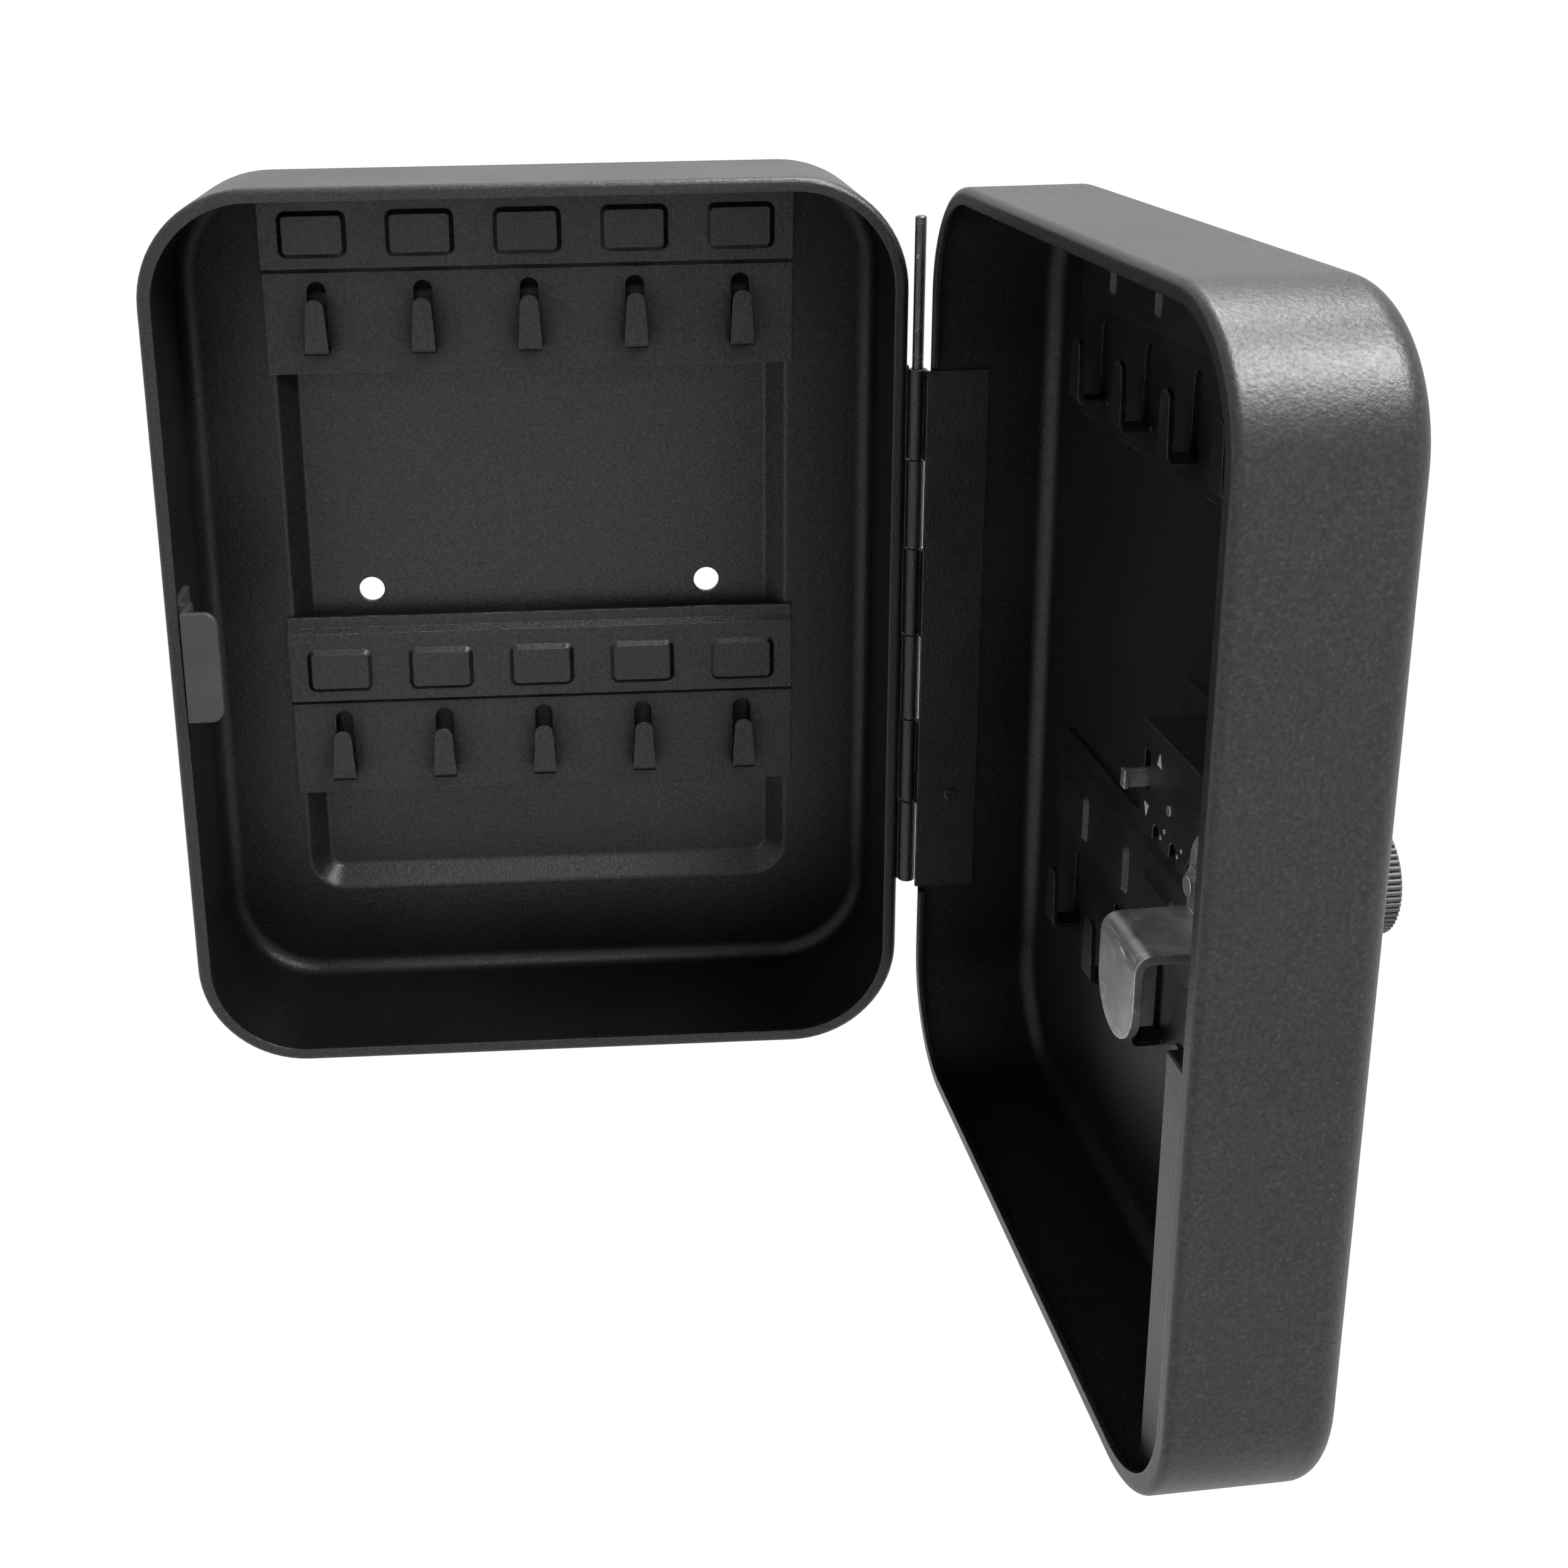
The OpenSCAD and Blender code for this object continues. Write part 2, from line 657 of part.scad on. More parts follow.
module spindle_bush() {
    length = 5;
    color("silver") door_swing() translate([knob_x, door_front_y, knob_z]) difference() {
        union() {
            rod_y(bush_d, length);
            translate([0, sheet_t, 0]) rod_y(bush_flange_d, frame_t);
        }
        translate([0, -cut, 0]) rod_y(spindle_d + 2 * shaft_clear, length + 2 * cut);
    }
}

// A dial with ten fields parted by grooves
module number_dial(i) {
    fields = 10;
    color("black") door_swing()
        translate([dial_first_x - i * dial_pitch - dial_w / 2, dial_y, dial_z]) difference() {
            rod_x(dial_d, dial_w);
            translate([-cut, 0, 0]) rod_x(axle_d + 2 * shaft_clear, dial_w + 2 * cut);
            for (a = [0 : fields - 1])
                rotate([(a + 0.5) * 360 / fields, 0, 0]) translate([-cut, 0, dial_d / 2])
                    rod_x(0.9, dial_w + 2 * cut);
        }
}

// The sleeve beside a dial, with the flat that the lock feels for
module dial_cam(i) {
    flat = 0.5;
    color("white") door_swing()
        translate([dial_first_x - i * dial_pitch - dial_w / 2 - cam_w, dial_y, dial_z]) difference() {
            rod_x(cam_d, cam_w);
            translate([-cut, 0, 0]) rod_x(axle_d + 2 * shaft_clear, cam_w + 2 * cut);
            translate([-cut, -cam_d, -cam_d / 2]) cube([cam_w + 2 * cut, 2 * cam_d, flat]);
        }
}

module number_dial_1() { number_dial(0); }
module number_dial_2() { number_dial(1); }
module number_dial_3() { number_dial(2); }
module dial_cam_1() { dial_cam(0); }
module dial_cam_2() { dial_cam(1); }
module dial_cam_3() { dial_cam(2); }

// A ribbed knob on a narrower neck
module knob() {
    rib_d = 0.6;
    grip_h = knob_h - knob_gap - knob_neck_h;
    color("gray") door_swing() translate([knob_x, door_front_y - knob_h, knob_z]) difference() {
        union() {
            rod_y(knob_d - rib_d, grip_h);
            rod_y(knob_neck_d, knob_h - knob_gap);
            for (a = [0 : knob_ribs - 1])
                rotate([0, (a + 0.5) * 360 / knob_ribs, 0]) translate([0, 0, (knob_d - rib_d) / 2])
                    rod_y(rib_d, grip_h);
        }
        translate([0, knob_face_t, 0]) rod_y(spindle_d + 2 * shaft_clear, knob_h);
    }
}

module spindle() {
    front_y = door_front_y - knob_h + knob_face_t;
    shaft_l = latch_back_y - front_y;
    color("silver") door_swing() translate([knob_x, front_y, knob_z]) {
        rod_y(spindle_d, shaft_l);
        translate([-tang_w / 2, 0, -tang_w / 2]) cube([tang_w, shaft_l + latch_t, tang_w]);
        rod_y(thread_d, shaft_l + latch_t + washer_t + nut_h + 1);
    }
}

// A Z-shaped cam: a base on the spindle, an arm towards the body and a tongue with a round tip
module latch() {
    arm_top = knob_z - latch_drop;
    bend_y = latch_face_y - latch_bend;
    tip_r = latch_w / 2;
    hole_w = tang_w + 2 * shaft_clear;
    color("silver") door_swing() translate([knob_x, 0, 0]) {
        difference() {
            union() {
                translate([0, latch_back_y, knob_z]) rod_y(latch_w, latch_t);
                translate([-latch_w / 2, latch_back_y, arm_top - latch_t])
                    cube([latch_w, latch_t, latch_drop + latch_t]);
            }
            translate([-hole_w / 2, latch_back_y - cut, knob_z - hole_w / 2])
                cube([hole_w, latch_t + 2 * cut, hole_w]);
        }
        translate([-latch_w / 2, latch_back_y, arm_top - latch_t])
            cube([latch_w, bend_y - latch_back_y, latch_t]);
        translate([-latch_w / 2, bend_y, arm_top - latch_bend]) rotate([90, 0, 90])
            linear_extrude(latch_w) difference() {
                intersection() {
                    circle(latch_bend);
                    square(latch_bend);
                }
                circle(latch_bend - latch_t);
            }
        translate([0, latch_face_y, 0]) rotate([90, 0, 0]) linear_extrude(latch_t) {
            translate([-latch_w / 2, knob_z - latch_len + tip_r])
                square([latch_w, latch_len - tip_r - latch_drop - latch_bend]);
            translate([0, knob_z - latch_len + tip_r]) circle(tip_r);
        }
    }
}

module latch_washer() {
    color("silver") door_swing() translate([knob_x, latch_back_y + latch_t, knob_z]) difference() {
        rod_y(washer_d, washer_t);
        translate([0, -cut, 0]) rod_y(thread_d + 2 * shaft_clear, washer_t + 2 * cut);
    }
}

module latch_nut() {
    color("silver") door_swing() translate([knob_x, latch_back_y + latch_t + washer_t, knob_z])
        difference() {
            rotate([-90, 0, 0]) cylinder(d = nut_d, h = nut_h, $fn = 6);
            translate([0, -cut, 0]) rod_y(thread_d + 2 * shaft_clear, nut_h + 2 * cut);
        }
}

// A flat lever that slides up beside the dials, with a slot for its stud and a flared end
module reset_lever() {
    plate_back = 2.6;
    plate_y = stud_y - plate_back;
    plate_low = 5.6;
    plate_h = 8.4;
    flare = 0.5;
    flare_t = 0.8;
    slot_w = stud_d + 2 * shaft_clear;
    tip_y = cover_face_y + lever_reach;
    color("silver") door_swing() translate([lever_x - lever_t / 2, 0, 0]) {
        difference() {
            translate([0, plate_y, stud_z - plate_low])
                cube([lever_t, cheek_y - plate_y, plate_h]);
            for (z = [0, -reset_travel])
                translate([-cut, stud_y, stud_z + z]) rod_x(slot_w, lever_t + 2 * cut);
            translate([-cut, stud_y - slot_w / 2, stud_z - reset_travel])
                cube([lever_t + 2 * cut, slot_w, reset_travel]);
        }
        translate([0, cheek_y - cut, lever_z - lever_h / 2])
            cube([lever_t, tip_y - cheek_y + cut, lever_h]);
        translate([-flare, tip_y - flare_t, lever_z - lever_h / 2])
            cube([lever_t + 2 * flare, flare_t, lever_h]);
    }
}

cabinet_shell();
cabinet_strip_top();
cabinet_strip_bottom();
strike_tab();
hinge_leaf_cabinet();
hinge_pin();
door_shell();
door_strip_top();
door_strip_bottom();
hinge_leaf_door();
door_edge_channel();
lock_frame();
lock_cover();
cover_rivet();
dial_axle();
detent_spring();
spindle_bush();
number_dial_1();
number_dial_2();
number_dial_3();
dial_cam_1();
dial_cam_2();
dial_cam_3();
knob();
spindle();
latch();
latch_washer();
latch_nut();
reset_lever();
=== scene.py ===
import bpy, bmesh, json
from math import radians, sin, cos, pi
from mathutils import Matrix, Vector


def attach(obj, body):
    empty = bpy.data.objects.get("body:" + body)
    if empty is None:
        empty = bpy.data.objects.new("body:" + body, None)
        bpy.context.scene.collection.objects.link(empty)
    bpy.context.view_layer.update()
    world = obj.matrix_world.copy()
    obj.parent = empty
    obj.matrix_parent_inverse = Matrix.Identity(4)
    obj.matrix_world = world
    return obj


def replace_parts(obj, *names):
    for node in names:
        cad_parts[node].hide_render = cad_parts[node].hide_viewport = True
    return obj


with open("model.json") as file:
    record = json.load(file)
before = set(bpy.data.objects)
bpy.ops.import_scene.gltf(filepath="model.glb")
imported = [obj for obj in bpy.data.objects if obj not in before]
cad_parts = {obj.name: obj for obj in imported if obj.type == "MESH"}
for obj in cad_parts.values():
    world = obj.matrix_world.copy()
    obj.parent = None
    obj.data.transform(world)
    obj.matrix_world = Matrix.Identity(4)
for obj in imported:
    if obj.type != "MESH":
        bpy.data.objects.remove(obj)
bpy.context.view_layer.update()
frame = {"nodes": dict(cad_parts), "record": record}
nodes = frame["nodes"]
bodyOf = {node: body for body, members in frame["record"]["behaviour"]["bodies"].items() for node in members}
print("frame loaded:", len(nodes), "nodes")

mm = 0.001
# the door's axis in millimetres, and how far the door stands open in degrees
hinge = {"x": 82.2, "y": -45.0, "open": 94.0}


def doorSpace():
    # from the shut door to where the open one stands, in metres
    axis = Matrix.Translation((hinge["x"] * mm, hinge["y"] * mm, 0))
    return axis @ Matrix.Rotation(radians(hinge["open"]), 4, "Z") @ axis.inverted()


def newGroup(name, inputs, outputs):
    group = bpy.data.node_groups.new(name, "ShaderNodeTree")
    for label, kind, value in inputs:
        group.interface.new_socket(name=label, in_out="INPUT", socket_type=kind).default_value = value
    for label, kind in outputs:
        group.interface.new_socket(name=label, in_out="OUTPUT", socket_type=kind)
    return group, group.nodes.new("NodeGroupInput"), group.nodes.new("NodeGroupOutput")


def add(tree, kind, **settings):
    node = tree.nodes.new(kind)
    for key, value in settings.items():
        if key in node.inputs:
            node.inputs[key].default_value = value
        else:
            setattr(node, key, value)
    return node


def maths(tree, operation, a, b=None, clamp=False):
    node = add(tree, "ShaderNodeMath", operation=operation, use_clamp=clamp)
    for i, value in enumerate((a, b)):
        if value is None:
            continue
        if isinstance(value, (int, float)):
            node.inputs[i].default_value = value
        else:
            tree.links.new(value, node.inputs[i])
    return node.outputs[0]


def spread(tree, value, low, high, toLow=0.0, toHigh=1.0):
    node = add(tree, "ShaderNodeMapRange")
    tree.links.new(value, node.inputs["Value"])
    for i, number in enumerate((low, high, toLow, toHigh)):
        if isinstance(number, (int, float)):
            node.inputs[i + 1].default_value = number
        else:
            tree.links.new(number, node.inputs[i + 1])
    return node.outputs["Result"]


powder = {"coarseScale": 0.55, "fineShare": 0.8, "coarseShare": 0.2, "speckAndGlint": (0.62, 0.78), "drift": (0.35, 0.65)}


def makePowderGrain():
    # the sandy skin of baked powder paint, with slow drifts in its thickness
    group, inside, out = newGroup("powderGrain",
        [("Vector", "NodeSocketVector", (0, 0, 0)), ("Grain", "NodeSocketFloat", 1400.0),
         ("Drift", "NodeSocketFloat", 60.0)],
        [("Height", "NodeSocketFloat"), ("SpeckAndGlint", "NodeSocketFloat"), ("Drift", "NodeSocketFloat")])
    vector = inside.outputs["Vector"]
    fine = add(group, "ShaderNodeTexNoise", Detail=3.0, Roughness=0.6)
    coarse = add(group, "ShaderNodeTexNoise", Detail=1.0, Roughness=0.4)
    slow = add(group, "ShaderNodeTexNoise", Detail=2.0, Roughness=0.5)
    for node in (fine, coarse, slow):
        group.links.new(vector, node.inputs["Vector"])
    group.links.new(inside.outputs["Grain"], fine.inputs["Scale"])
    group.links.new(maths(group, "MULTIPLY", inside.outputs["Grain"], powder["coarseScale"]),
        coarse.inputs["Scale"])
    group.links.new(inside.outputs["Drift"], slow.inputs["Scale"])
    height = maths(group, "ADD", maths(group, "MULTIPLY", fine.outputs["Fac"], powder["fineShare"]),
        maths(group, "MULTIPLY", coarse.outputs["Fac"], powder["coarseShare"]))
    group.links.new(height, out.inputs["Height"])
    group.links.new(spread(group, fine.outputs["Fac"], *powder["speckAndGlint"]), out.inputs["SpeckAndGlint"])
    group.links.new(spread(group, slow.outputs["Fac"], *powder["drift"]), out.inputs["Drift"])
    return group


plating = {"stretch": 14.0, "cloudScale": 0.5, "scratchScale": 0.8, "cloud": (0.3, 0.7), "scratchLevel": 0.5,
    "scratchWidth": 0.012}


def makePlatedSkin():
    # brushed lines and cloudy patches of zinc plating, with fine scratches
    group, inside, out = newGroup("platedSkin",
        [("Vector", "NodeSocketVector", (0, 0, 0)), ("Scale", "NodeSocketFloat", 300.0)],
        [("Lines", "NodeSocketFloat"), ("Cloud", "NodeSocketFloat"), ("Scratch", "NodeSocketFloat")])
    stretch = add(group, "ShaderNodeMapping")
    stretch.inputs["Scale"].default_value = (1.0, 1.0, plating["stretch"])
    group.links.new(inside.outputs["Vector"], stretch.inputs["Vector"])
    lines = add(group, "ShaderNodeTexNoise", Detail=2.0)
    group.links.new(stretch.outputs["Vector"], lines.inputs["Vector"])
    group.links.new(inside.outputs["Scale"], lines.inputs["Scale"])
    cloud = add(group, "ShaderNodeTexNoise", Detail=3.0)
    group.links.new(inside.outputs["Vector"], cloud.inputs["Vector"])
    group.links.new(maths(group, "MULTIPLY", inside.outputs["Scale"], plating["cloudScale"]), cloud.inputs["Scale"])
    scratch = add(group, "ShaderNodeTexNoise", Detail=1.0, Distortion=1.5)
    group.links.new(inside.outputs["Vector"], scratch.inputs["Vector"])
    group.links.new(maths(group, "MULTIPLY", inside.outputs["Scale"], plating["scratchScale"]),
        scratch.inputs["Scale"])
    thin = maths(group, "ABSOLUTE", maths(group, "SUBTRACT", scratch.outputs["Fac"], plating["scratchLevel"]))
    group.links.new(lines.outputs["Fac"], out.inputs["Lines"])
    group.links.new(spread(group, cloud.outputs["Fac"], *plating["cloud"]), out.inputs["Cloud"])
    group.links.new(spread(group, thin, 0.0, plating["scratchWidth"], 1.0, 0.0), out.inputs["Scratch"])
    return group


rims = {"samples": 6, "flat": 0.995, "sharp": 0.86, "patches": (0.42, 0.6)}


def makeEdgeWear():
    # finds the rims of a piece and breaks them up; the rims get a lighter colour, partly for rubbed and thinly
    # covered edges and partly as a painted highlight
    group, inside, out = newGroup("edgeWearAndSheen",
        [("Vector", "NodeSocketVector", (0, 0, 0)), ("Radius", "NodeSocketFloat", 0.0005),
         ("Patches", "NodeSocketFloat", 300.0)],
        [("Mask", "NodeSocketFloat"), ("Normal", "NodeSocketVector")])
    rounded = add(group, "ShaderNodeBevel", samples=rims["samples"])
    group.links.new(inside.outputs["Radius"], rounded.inputs["Radius"])
    flat = group.nodes.new("ShaderNodeNewGeometry")
    match = add(group, "ShaderNodeVectorMath", operation="DOT_PRODUCT")
    group.links.new(rounded.outputs["Normal"], match.inputs[0])
    group.links.new(flat.outputs["Normal"], match.inputs[1])
    rim = spread(group, match.outputs["Value"], rims["flat"], rims["sharp"])
    patches = add(group, "ShaderNodeTexNoise", Detail=3.0, Roughness=0.65)
    group.links.new(inside.outputs["Vector"], patches.inputs["Vector"])
    group.links.new(inside.outputs["Patches"], patches.inputs["Scale"])
    broken = spread(group, patches.outputs["Fac"], *rims["patches"])
    group.links.new(maths(group, "MULTIPLY", rim, broken, True), out.inputs["Mask"])
    group.links.new(rounded.outputs["Normal"], out.inputs["Normal"])
    return group


hollows = {"samples": 8, "closed": 0.5, "open": 0.95}


def makeCornerDust():
    # painted shade: takes the gloss away in a piece's own hollows, found by occlusion, so that they read darker
    group, inside, out = newGroup("paintedHollowShade",
        [("Reach", "NodeSocketFloat", 0.045), ("Deep", "NodeSocketFloat", 0.35)],
        [("Gloss", "NodeSocketFloat")])
    hollow = add(group, "ShaderNodeAmbientOcclusion", samples=hollows["samples"], only_local=True)
    group.links.new(inside.outputs["Reach"], hollow.inputs["Distance"])
    kept = spread(group, hollow.outputs["AO"], hollows["closed"], hollows["open"], inside.outputs["Deep"], 1.0)
    group.links.new(kept, out.inputs["Gloss"])
    return group


powderGrain = makePowderGrain()
platedSkin = makePlatedSkin()
edgeWearAndSheen = makeEdgeWear()
paintedHollowShade = makeCornerDust()
print("shader groups made")


def newMaterial(name, **plain):
    material = bpy.data.materials.new(name)
    material.use_nodes = True
    tree = material.node_tree
    shader = tree.nodes["Principled BSDF"]
    for key, value in plain.items():
        shader.inputs[key.replace("_", " ")].default_value = value
    where = tree.nodes.new("ShaderNodeTexCoord").outputs["Object"]
    return material, tree, shader, where


def placeGroup(tree, group, where, **values):
    node = tree.nodes.new("ShaderNodeGroup")
    node.node_tree = group
    tree.links.new(where, node.inputs["Vector"])
    for key, value in values.items():
        node.inputs[key].default_value = value
    return node


def mixColour(tree, factor, a, b):
    node = add(tree, "ShaderNodeMix", data_type="RGBA")
    tree.links.new(factor, node.inputs["Factor"])
    for socket, value in ((node.inputs["A"], a), (node.inputs["B"], b)):
        if isinstance(value, tuple):
            socket.default_value = value
        else:
            tree.links.new(value, socket)
    return node.outputs["Result"]


def roughen(tree, shader, height, strength, depth, normal):
    bump = add(tree, "ShaderNodeBump", Strength=strength, Distance=depth * mm)
    tree.links.new(height, bump.inputs["Height"])
    tree.links.new(normal, bump.inputs["Normal"])
    tree.links.new(bump.outputs["Normal"], shader.inputs["Normal"])


def grey(value, warm=0.0):
    # a grey, with a share of warmth
    return (value * (1 + warm), value, value * (1 - warm), 1.0)


paintSkin = {"grain": (0.35, 0.65), "dull": 0.76, "bright": 1.24, "polished": 0.12}


def makePaint(name, look):
    # baked powder paint: glinting grains, gloss taken away in its hollows as painted shade, light specks that are
    # partly painted glints, and rims lightened partly for wear and partly as a painted highlight
    material, tree, shader, where = newMaterial(name)
    # painted shade: the gloss is turned down in the piece's own hollows
    hollowShadeNode = add(tree, "ShaderNodeGroup", node_tree=paintedHollowShade)
    grain = placeGroup(tree, powderGrain, where, Grain=look["grain"], Drift=look["drift"])
    glint = spread(tree, grain.outputs["Height"], *paintSkin["grain"], look["gloss"] * paintSkin["dull"],
        look["gloss"] * paintSkin["bright"])
    tree.links.new(maths(tree, "MULTIPLY", hollowShadeNode.outputs["Gloss"], glint), shader.inputs["Specular IOR Level"])
    # the rims take a lighter colour, partly for wear and partly as a painted highlight
    wearAndSheen = placeGroup(tree, edgeWearAndSheen, where, Radius=look["edge"] * mm, Patches=look["patches"])
    base = mixColour(tree, grain.outputs["Drift"], grey(look["dark"]), grey(look["light"]))
    # light specks in the colour, partly the paint's own specks and partly painted glints
    speckledAndGlinting = mixColour(tree, grain.outputs["SpeckAndGlint"], base, grey(look["speckAndGlint"]))
    rubbedAndSheen = mixColour(tree, wearAndSheen.outputs["Mask"], speckledAndGlinting, grey(look["rubAndSheen"]))
    tree.links.new(rubbedAndSheen, shader.inputs["Base Color"])
    rough = spread(tree, grain.outputs["Drift"], 0.0, 1.0, look["smooth"], look["rough"])
    polish = maths(tree, "MULTIPLY", wearAndSheen.outputs["Mask"], paintSkin["polished"])
    tree.links.new(maths(tree, "SUBTRACT", rough, polish), shader.inputs["Roughness"])
    roughen(tree, shader, grain.outputs["Height"], look["relief"], look["depth"], wearAndSheen.outputs["Normal"])
    return material


shellPaint = makePaint("shellPaint", {"dark": 0.004, "light": 0.007, "speckAndGlint": 0.03, "rubAndSheen": 0.03, "gloss": 0.54,
    "smooth": 0.38, "rough": 0.44, "grain": 1500.0, "drift": 28.0, "patches": 260.0, "relief": 0.7, "depth": 0.14,
    "edge": 0.5})
stripPaint = makePaint("stripPaint", {"dark": 0.004, "light": 0.007, "speckAndGlint": 0.012, "rubAndSheen": 0.14, "gloss": 0.54,
    "smooth": 0.38, "rough": 0.46, "grain": 1700.0, "drift": 60.0, "patches": 400.0, "relief": 0.7, "depth": 0.18,
    "edge": 0.3})
knobPaint = makePaint("knobPaint", {"dark": 0.045, "light": 0.065, "speckAndGlint": 0.05, "rubAndSheen": 0.12, "gloss": 0.5,
    "smooth": 0.3, "rough": 0.4, "grain": 2600.0, "drift": 120.0, "patches": 700.0, "relief": 0.3, "depth": 0.06,
    "edge": 0.15})


metalSkin = {"patches": 500.0, "lines": (0.3, 0.7), "depth": 0.04}


def makeMetal(name, look):
    # plated sheet: cloudy, brushed and scratched, brighter at its rims partly for wear and partly as a painted
    # highlight
    material, tree, shader, where = newMaterial(name, Metallic=look["metal"])
    skin = placeGroup(tree, platedSkin, where, Scale=look["scale"])
    wearAndSheen = placeGroup(tree, edgeWearAndSheen, where, Radius=look["edge"] * mm, Patches=metalSkin["patches"])
    base = mixColour(tree, skin.outputs["Cloud"], grey(look["dark"], look["warm"]),
        grey(look["light"], look["warm"]))
    scratched = mixColour(tree, skin.outputs["Scratch"], base, grey(look["scratch"]))
    rubbedAndSheen = mixColour(tree, wearAndSheen.outputs["Mask"], scratched, grey(look["rubAndSheen"]))
    tree.links.new(rubbedAndSheen, shader.inputs["Base Color"])
    tree.links.new(spread(tree, skin.outputs["Lines"], *metalSkin["lines"], look["smooth"], look["rough"]),
        shader.inputs["Roughness"])
    roughen(tree, shader, skin.outputs["Lines"], look["relief"], metalSkin["depth"], wearAndSheen.outputs["Normal"])
    return material


zincPlate = makeMetal("zincPlate", {"dark": 0.27, "light": 0.44, "scratch": 0.55, "rubAndSheen": 0.75, "warm": 0.02,
    "metal": 0.8, "smooth": 0.34, "rough": 0.52, "scale": 240.0, "relief": 0.3, "edge": 0.3})
greyPlate = makeMetal("greyPlate", {"dark": 0.036, "light": 0.048, "scratch": 0.055, "rubAndSheen": 0.12, "warm": 0.0,
    "metal": 0.0, "smooth": 0.45, "rough": 0.6, "scale": 200.0, "relief": 0.25, "edge": 0.3})
pinSteel = makeMetal("pinSteel", {"dark": 0.05, "light": 0.09, "scratch": 0.25, "rubAndSheen": 0.3, "warm": 0.0,
    "metal": 0.8, "smooth": 0.3, "rough": 0.42, "scale": 400.0, "relief": 0.2, "edge": 0.15})


plasticSkin = {"gloss": 0.4, "drift": 150.0, "edge": 0.12, "patches": 900.0, "depth": 0.03}


def makePlastic(name, look):
    # moulded plastic or thick ink, with a fine grain
    material, tree, shader, where = newMaterial(name, Specular_IOR_Level=plasticSkin["gloss"])
    grain = placeGroup(tree, powderGrain, where, Grain=look["grain"], Drift=plasticSkin["drift"])
    wearAndSheen = placeGroup(tree, edgeWearAndSheen, where, Radius=plasticSkin["edge"] * mm, Patches=plasticSkin["patches"])
    base = mixColour(tree, grain.outputs["Drift"], look["dark"], look["light"])
    tree.links.new(mixColour(tree, wearAndSheen.outputs["Mask"], base, look["rubAndSheen"]), shader.inputs["Base Color"])
    tree.links.new(spread(tree, grain.outputs["Drift"], 0.0, 1.0, look["smooth"], look["rough"]),
        shader.inputs["Roughness"])
    roughen(tree, shader, grain.outputs["Height"], look["relief"], plasticSkin["depth"], wearAndSheen.outputs["Normal"])
    return material


dialPlastic = makePlastic("dialPlastic", {"dark": grey(0.012), "light": grey(0.018), "rubAndSheen": grey(0.05),
    "smooth": 0.32, "rough": 0.42, "grain": 3000.0, "relief": 0.2})
camPlastic = makePlastic("camPlastic", {"dark": grey(0.6, 0.02), "light": grey(0.68, 0.02), "rubAndSheen": grey(0.75),
    "smooth": 0.4, "rough": 0.5, "grain": 3000.0, "relief": 0.2})
markInk = makePlastic("markInk", {"dark": grey(0.55), "light": grey(0.7), "rubAndSheen": grey(0.4),
    "smooth": 0.5, "rough": 0.6, "grain": 4000.0, "relief": 0.3})
print("materials made")


finishes = {
    "cabinet_shell": shellPaint, "door_shell": shellPaint,
    "cabinet_strip_top": stripPaint, "cabinet_strip_bottom": stripPaint,
    "door_strip_top": stripPaint, "door_strip_bottom": stripPaint,
    "hinge_leaf_cabinet": stripPaint, "hinge_leaf_door": stripPaint, "hinge_pin": pinSteel,
    "door_edge_channel": shellPaint, "lock_frame": stripPaint, "lock_cover": stripPaint, "cover_rivet": zincPlate,
    "strike_tab": greyPlate, "dial_axle": zincPlate, "detent_spring": zincPlate, "spindle_bush": zincPlate,
    "spindle": zincPlate, "latch": zincPlate, "latch_washer": zincPlate, "latch_nut": zincPlate,
    "reset_lever": zincPlate, "knob": knobPaint,
}
for i in "123":
    finishes["number_dial_" + i] = dialPlastic
    finishes["dial_cam_" + i] = camPlastic
for name, finish in finishes.items():
    mesh = nodes[name].data
    mesh.materials.clear()
    mesh.materials.append(finish)
print("cad nodes finished")


def place(name, mesh, material, body):
    piece = bpy.data.objects.new(name, mesh)
    bpy.context.scene.collection.objects.link(piece)
    if material:
        mesh.materials.clear()
        mesh.materials.append(material)
    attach(piece, body)
    return piece


def frozen(mesh, setUp):
    # the mesh with the modifier that setUp adds, as a plain mesh
    holder = bpy.data.objects.new("workpiece", mesh)
    bpy.context.scene.collection.objects.link(holder)
    setUp(holder)
    bpy.context.view_layer.update()
    done = bpy.data.meshes.new_from_object(holder.evaluated_get(bpy.context.evaluated_depsgraph_get()))
    bpy.data.objects.remove(holder)
    return done


# the pressed panel of the body, in millimetres; within its core lie only the screw holes
press = {"front": -5.4, "halfWidth": 62, "halfHeight": 80, "core": 52, "elsewhere": 0.2}


def pressWeight(middle):
    # full rounding for the edges of the pressed panel, and little for the others of the body
    across = abs(middle.x) < press["halfWidth"] * mm and abs(middle.z) < press["halfHeight"] * mm
    onPanel = middle.y > press["front"] * mm and across and middle.xz.length > press["core"] * mm
    return 1.0 if onPanel else press["elsewhere"]


soften = {
    "cabinet_shell": {"width": 1.6, "weight": pressWeight},
    "cabinet_strip_top": {"width": 0.3}, "cabinet_strip_bottom": {"width": 0.3},
    "door_strip_top": {"width": 0.3}, "door_strip_bottom": {"width": 0.3},
    "strike_tab": {"width": 0.4}, "door_edge_channel": {"width": 0.35}, "lock_cover": {"width": 0.35},
    "lock_frame": {"width": 0.2}, "hinge_leaf_cabinet": {"width": 0.2}, "hinge_leaf_door": {"width": 0.2},
    "latch": {"width": 0.4}, "reset_lever": {"width": 0.15}, "spindle_bush": {"width": 0.15},
    "number_dial_1": {"width": 0.12}, "number_dial_2": {"width": 0.12}, "number_dial_3": {"width": 0.12},
}


rolling = {"weld": 0.002, "flat": 0.8, "corner": 28, "segments": 3, "faceWeight": 100}


